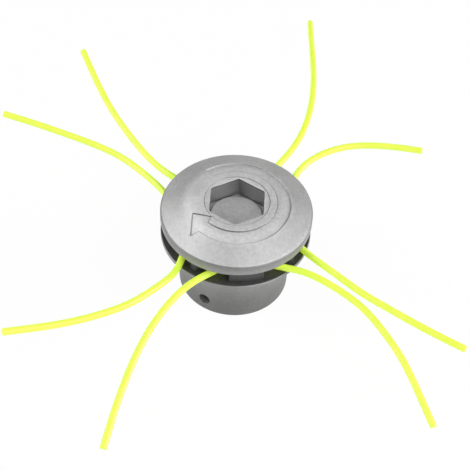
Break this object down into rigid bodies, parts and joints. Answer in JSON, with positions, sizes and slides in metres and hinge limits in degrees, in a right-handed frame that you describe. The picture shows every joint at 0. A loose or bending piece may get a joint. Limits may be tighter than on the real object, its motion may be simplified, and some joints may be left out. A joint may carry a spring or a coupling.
{
  "type": "fixed line trimmer head",
  "caption": "Round two-piece cast trimmer head on a cup, with a hexagonal socket and a sunk arrow in its cap and fixed nylon lines leaving the gap between cap and base.",
  "frame": {"origin": "on the head's axis, in the plane of the cup's rim that the head stands on", "axes": "+Z along the axis from the cup to the cap; -Y and +X, +Y, -X point through the middles of the broad posts"},
  "size_m": [0.214, 0.276, 0.0604],
  "materials": {
    "cast_base": "satin",
    "cast_cap": "fine blasted",
    "insert_steel": "turned",
    "nylon_line": "smooth"
  },
  "bodies": {
    "root": {"base": "cast_base", "thread_insert": "insert_steel", "cap": "cast_cap", "line_front": "nylon_line", "line_right": "nylon_line", "line_back": "nylon_line", "line_left": "nylon_line"}
  },
  "joints": []
}
